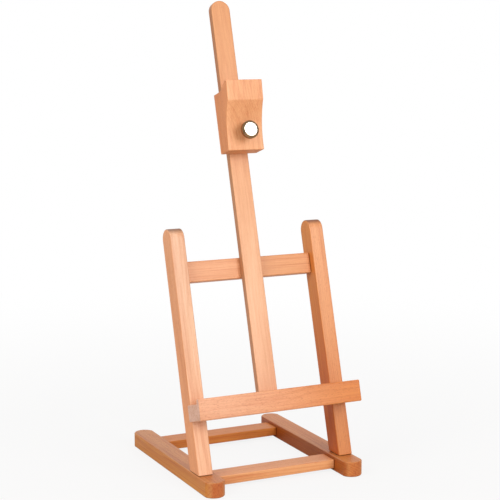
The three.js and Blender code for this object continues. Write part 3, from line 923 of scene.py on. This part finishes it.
def make_crossbar():
    holes = dowel_holes(BAR_DOWELS)
    holes += [screw_hole(f"mast_screw_{level}", FORWARD, SMALL_SCREW_MM) for level in LEVELS]
    board("crossbar", RIGHT, "frame", holes)


def make_mast():
    holes = [screw_hole(f"mast_foot_screw_{level}", FORWARD, SMALL_SCREW_MM) for level in LEVELS]
    holes += [screw_hole(f"mast_screw_{level}", FORWARD, SMALL_SCREW_MM) for level in LEVELS]
    board("mast", FORWARD, "frame", holes, MAST_ROUNDING_MM)


def make_tray():
    holes = [screw_hole(f"mast_foot_screw_{level}", FORWARD, SMALL_SCREW_MM) for level in LEVELS]
    holes += [screw_hole(f"tray_screw_{side}", FORWARD, LARGE_SCREW_MM) for side in SIDES]
    board("canvas_tray", RIGHT, "frame", holes)


def clamp_hole(radius, back, front):
    """A hole on the clamp screw's axis between two places forward of the mast, all in mm."""
    start = KNOB_CENTRE + FORWARD * back * MM
    length = (front - back) * MM
    return straight_hole(start, FORWARD, length, radius * MM, CLAMP_HOLE_SEGMENTS)


def make_holder():
    """The block. Each of the clamp's three holes starts a little behind the one before it."""
    insert_back, insert_front = forward_mm("threaded_insert")
    flange = radius_mm("threaded_insert") + HOLE_CLEARANCE_MM
    sleeve = flange - FLANGE_OVERHANG_MM
    flange_front = insert_back + FLANGE_THICKNESS_MM
    holes = [
        clamp_hole(flange, BEHIND_BLOCK_MM, flange_front + HOLE_CLEARANCE_MM),
        clamp_hole(sleeve, BEHIND_BLOCK_MM - 0.5, insert_front + HOLE_CLEARANCE_MM),
        clamp_hole(STUD_HOLE_RADIUS_MM, BEHIND_BLOCK_MM - 1, BEYOND_BLOCK_MM),
    ]
    for side in SIDES:
        holes += [strap_screw_hole(side, level, 0.5 * MM) for level in LEVELS]
    board("canvas_holder", RIGHT, "holder", holes, BLOCK_ROUNDING_MM)


# ---------------------------------------------------------------- clamp and strap

def make_stud(material):
    """The stud with a real thread along all but its turned tip."""
    back, front = forward_mm("clamp_stud")
    major = radius_mm("clamp_stud")
    minor = major - THREAD_DEPTH_MM
    tip = STUD_TIP_MM["radius"]
    chamfer = STUD_TIP_MM["chamfer"]
    shoulder = back + STUD_TIP_MM["length"]
    start = shoulder + THREAD_LEAD_MM
    rows = int((front - shoulder - 1) / THREAD_PITCH_MM * THREAD_ROWS_PER_PITCH)
    row_height = THREAD_PITCH_MM / THREAD_ROWS_PER_PITCH

    def thread(radius, height, angle):
        if radius < major or height < start:
            return min(radius, minor)
        phase = (height / THREAD_PITCH_MM - angle / math.tau) % 1.0
        crest = abs(2 * phase - 1)
        fade = min(1.0, (height - start) / THREAD_FADE_MM)
        return minor + THREAD_DEPTH_MM * fade * min(1.0, max(0.0, 1.25 * crest - 0.125))

    profile = [
        (0, back), (tip - chamfer, back), (tip, back + chamfer), (tip, shoulder),
        (minor, shoulder + 0.01),
    ]
    profile += [(major, start + i * row_height) for i in range(rows)]
    end = profile[-1][1] + 0.1
    profile += [(minor, end), (minor, front), (0, front)]
    stud = turned("clamp_stud_shown", profile, ROUND_SEGMENTS, thread)
    place(stud, axis_frame(KNOB_CENTRE, FORWARD))
    finish_surface(stud, material)
    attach(stud, "knob")
    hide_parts("clamp_stud")


def make_knob(material):
    """A turned knob: knurled rim, wide chamfer, softly domed face, and a collar at its back."""
    back, face = forward_mm("knob_head")
    rim = radius_mm("knob_head")
    collar_front = face - KNOB_MM["thickness"]
    knurl_low = collar_front + KNOB_MM["back_chamfer"]
    knurl_high = face - KNOB_MM["chamfer_depth"]
    dome = rim - KNOB_MM["chamfer_width"]

    def knurl(radius, height, angle):
        if radius < rim - 0.01 or not knurl_low <= height <= knurl_high:
            return radius
        tooth = abs((angle * KNURL_TEETH / math.tau) % 1.0 - 0.5) * 2
        from_end = min(height - knurl_low, knurl_high - height)
        fade = min(1.0, from_end / KNURL_FADE_MM)
        return radius - KNURL_DEPTH_MM * fade * tooth

    bore = KNOB_MM["bore"]
    floor = face - KNOB_MM["wall"]
    collar = KNOB_MM["collar"]
    outside = round_profile([
        (bore, back, 0), (collar, back, 0.5), (collar, collar_front, 0.4),
        (rim, collar_front, 0.9), (rim, knurl_low, 0),
    ], 6)
    row = (knurl_high - knurl_low) / KNURL_ROWS
    side = [(rim, knurl_low + row * i) for i in range(1, KNURL_ROWS)]
    ledge = face - FACE_MM["ledge_drop"]
    width = FACE_MM["ledge_width"]
    front = round_profile([
        (rim, knurl_high, 0), (dome + width, ledge, 0.3), (dome, ledge, 0.12),
        (dome - width, face - FACE_MM["edge_drop"], 0.12),
        (dome - FACE_MM["inset"], face - FACE_MM["drop"], 0), (0, face, 0),
    ])
    profile = [(0, floor), (bore, floor)] + outside + side + front
    knob = turned("knob_head_shown", profile, KNURL_TEETH * 4, knurl)
    place(knob, axis_frame(KNOB_CENTRE, FORWARD))
    finish_surface(knob, material, math.radians(30))
    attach(knob, "knob")
    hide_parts("knob_head")


def make_strap(material):
    """The bent strip behind the mast, with real bends and its four screw holes."""
    half = radius_mm("guide_strap")
    thickness = STRAP_THICKNESS_MM
    back, front = forward_mm("guide_strap")
    low, high = extent("guide_strap", UP_LEAN)
    leg = half - STRAP_FLANGE_MM + thickness / 2
    near = -front + thickness / 2
    far = -back - thickness / 2
    bend = STRAP_BEND_MM
    centre = round_profile([
        (-half, near, 0), (-leg, near, bend), (-leg, far, bend), (leg, far, bend),
        (leg, near, bend), (half, near, 0),
    ], 6)
    outline = []
    for sign in (1, -1):
        side = []
        for i, point in enumerate(centre):
            before = Vector(centre[max(i - 1, 0)])
            after = Vector(centre[min(i + 1, len(centre) - 1)])
            run = (after - before).normalized()
            normal = Vector((-run.y, run.x)) * sign * thickness / 2
            side.append(Vector(point) + normal)
        outline += side if sign == 1 else list(reversed(side))
    plane = KNOB_CENTRE.dot(FORWARD)
    top = UP_LEAN * high
    points = [
        RIGHT * point.x * MM + FORWARD * (plane - point.y * MM) + top for point in outline
    ]
    strap = prism("guide_strap_shown", points, UP_LEAN, high - low)
    round_edges(strap, STRAP_EDGE_MM * MM, 2, math.radians(50))
    cut(strap, [strap_screw_hole(side, level, 0) for side in SIDES for level in LEVELS])
    finish_surface(strap, material)
    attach(strap, "holder")
    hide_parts("guide_strap")


def make_screws(material):
    """Every screw, each stopped at an angle of its own."""
    draw = random.Random(5)

    def screw(node, axis, size, body_name="frame", pan=False):
        turn = draw.uniform(0, math.tau)
        make_screw(node, axis, size, body_name, material, turn, pan)

    for side in SIDES:
        screw(f"foot_screw_{side}", UP, LARGE_SCREW_MM)
        screw(f"tray_screw_{side}", FORWARD, LARGE_SCREW_MM)
        for level in LEVELS:
            screw(f"strap_screw_{side}_{level}", FORWARD, PAN_SCREW_MM, "holder", pan=True)
    for kind in ("mast_screw", "mast_foot_screw"):
        for level in LEVELS:
            screw(f"{kind}_{level}", FORWARD, SMALL_SCREW_MM)


def dress_hidden_nodes():
    """The dowels, the insert and the pad keep their CAD shapes and get their materials."""
    dowel_wood = beech("beech_dowels_across", Wood(RIGHT, UP, 81, (8, 12)), (-0.1, 0.1))
    foot_wood = beech("beech_dowels_upright", Wood(UP, RIGHT, 82, (8, 12)), (0, 0.1))
    looks = {name: dowel_wood for name in RAIL_DOWELS + BAR_DOWELS}
    looks.update({f"foot_dowel_{side}": foot_wood for side in SIDES})
    looks["threaded_insert"] = metal("turned_brass", BRASS_COLOUR, 0.26)
    looks["clamp_pad"] = black_nylon("black_nylon")
    for name, material in looks.items():
        node = frame["nodes"][name]
        node.data.materials.clear()
        node.data.materials.append(material)


# ---------------------------------------------------------------- stage, light and camera

FLOOR_COLOURS = ((0.58, 0.56, 0.54), (0.61, 0.59, 0.57))
FLOOR_RADIUS = 30
FLOOR_FADE = (0.10, 1.1)         # metres from the easel
FLOOR_LIFT = (0.86, 1.0)         # how much of it is plain white there
ROOM_COLOUR = (0.50, 0.50, 0.50)
CEILING_COLOUR = (0.62, 0.62, 0.64)
BACKDROP_COLOUR = (0.95, 0.95, 0.95)
BACKDROP_DIRECTION = Vector((0, 0.94, 0.34))
WHITE = (1, 1, 1)

# Each light's place, size, power and colour; both look at the middle of the easel
LIGHTS = {
    "key": ((0.75, -2.55, 1.35), 1.5, 44, (1.0, 0.985, 0.96)),
    "fill": ((-2.46, -0.84, 1.76), 1.6, 40, (1.0, 0.98, 0.95)),
}
LIT_PLACE = Vector((0, 0, 0.26))


def pale_floor():
    """A pale floor that fades into the bright surroundings. What the camera sees of it is
    lifted a little, so that the light it sends back up stays low."""
    graph = Graph(bpy.data.materials.new("pale_floor"))
    position = graph.add("TexCoord").outputs["Object"]
    distance = graph.add("VectorMath", {0: position}, operation="LENGTH").outputs["Value"]
    haze = graph.noise(position, 6.0, 3.0)
    darker, lighter = FLOOR_COLOURS
    graph.set(graph.shader, {
        "Base Color": graph.mix(haze, rgb(*darker), rgb(*lighter)),
        "Roughness": 0.8,
    })
    glow = graph.add("Emission", {"Color": rgb(*WHITE), "Strength": 1.0})
    seen = graph.add("LightPath").outputs["Is Camera Ray"]
    lift = graph.math("MULTIPLY", graph.between(distance, *FLOOR_FADE, *FLOOR_LIFT), seen)
    blend = graph.add("MixShader", {0: lift, 1: graph.shader.outputs[0], 2: glow.outputs[0]})
    graph.tree.links.new(blend.outputs[0], graph.tree.nodes["Material Output"].inputs["Surface"])
    solid = bmesh.new()
    bmesh.ops.create_circle(solid, cap_ends=True, radius=FLOOR_RADIUS, segments=96)
    floor = object_from("floor", solid)
    floor.data.materials.append(graph.owner)


def surroundings():
    """A studio, white where the camera looks. As light it is dimmer, with a bright backdrop
    behind the easel and a pale ceiling."""
    world = bpy.data.worlds.new("studio")
    bpy.context.scene.world = world
    graph = Graph(world, "Background")
    direction = graph.add("TexCoord").outputs["Generated"]
    height = graph.add("SeparateXYZ", {0: direction}).outputs[2]
    towards_backdrop = graph.add("VectorMath", {
        0: direction, 1: BACKDROP_DIRECTION,
    }, operation="DOT_PRODUCT").outputs["Value"]
    ceiling = graph.between(height, 0.15, 0.9)
    room = graph.mix(ceiling, rgb(*ROOM_COLOUR), rgb(*CEILING_COLOUR))
    backdrop = graph.between(towards_backdrop, 0.45, 0.95)
    light = graph.mix(backdrop, room, rgb(*BACKDROP_COLOUR))
    seen = graph.add("LightPath").outputs["Is Camera Ray"]
    graph.set(graph.shader, {"Color": graph.mix(seen, light, rgb(*WHITE))})


def stand_towards(thing, stand, target):
    """Puts a light or camera at stand, turns it to target, and adds it to the scene."""
    thing.location = stand
    thing.rotation_euler = (target - stand).to_track_quat("-Z", "Y").to_euler()
    bpy.context.scene.collection.objects.link(thing)


def soft_light(name, stand, size, power, colour):
    data = bpy.data.lights.new(name, "AREA")
    data.shape = "RECTANGLE"
    data.size = size
    data.size_y = size
    data.energy = power
    data.color = colour
    stand_towards(bpy.data.objects.new(name, data), Vector(stand), LIT_PLACE)


def add_camera():
    """Where the photographer stood: low, and to the left of the easel."""
    data = bpy.data.cameras.new("camera")
    data.angle = CAMERA_ANGLE
    data.clip_start = 0.05
    data.clip_end = 100
    camera = bpy.data.objects.new("camera", data)
    stand_towards(camera, CAMERA_STAND, CAMERA_TARGET)
    bpy.context.scene.camera = camera


def light_the_stage():
    surroundings()
    pale_floor()
    for name, settings in LIGHTS.items():
        soft_light(name, *settings)


add_camera()
make_base()
make_uprights()
make_crossbar()
make_mast()
make_tray()
make_holder()
ZINC = metal("zinc_plated", ZINC_COLOUR, 0.28)
make_screws(ZINC)
make_stud(ZINC)
make_strap(metal("zinc_strip", STRIP_COLOUR, 0.34, 0.12, (6, 0.4, 0.4)))
make_knob(polished_knob("polished_nickel", radius_mm("knob_head") - KNOB_MM["chamfer_width"]))
dress_hidden_nodes()
light_the_stage()
bpy.context.scene.view_settings.view_transform = "Standard"
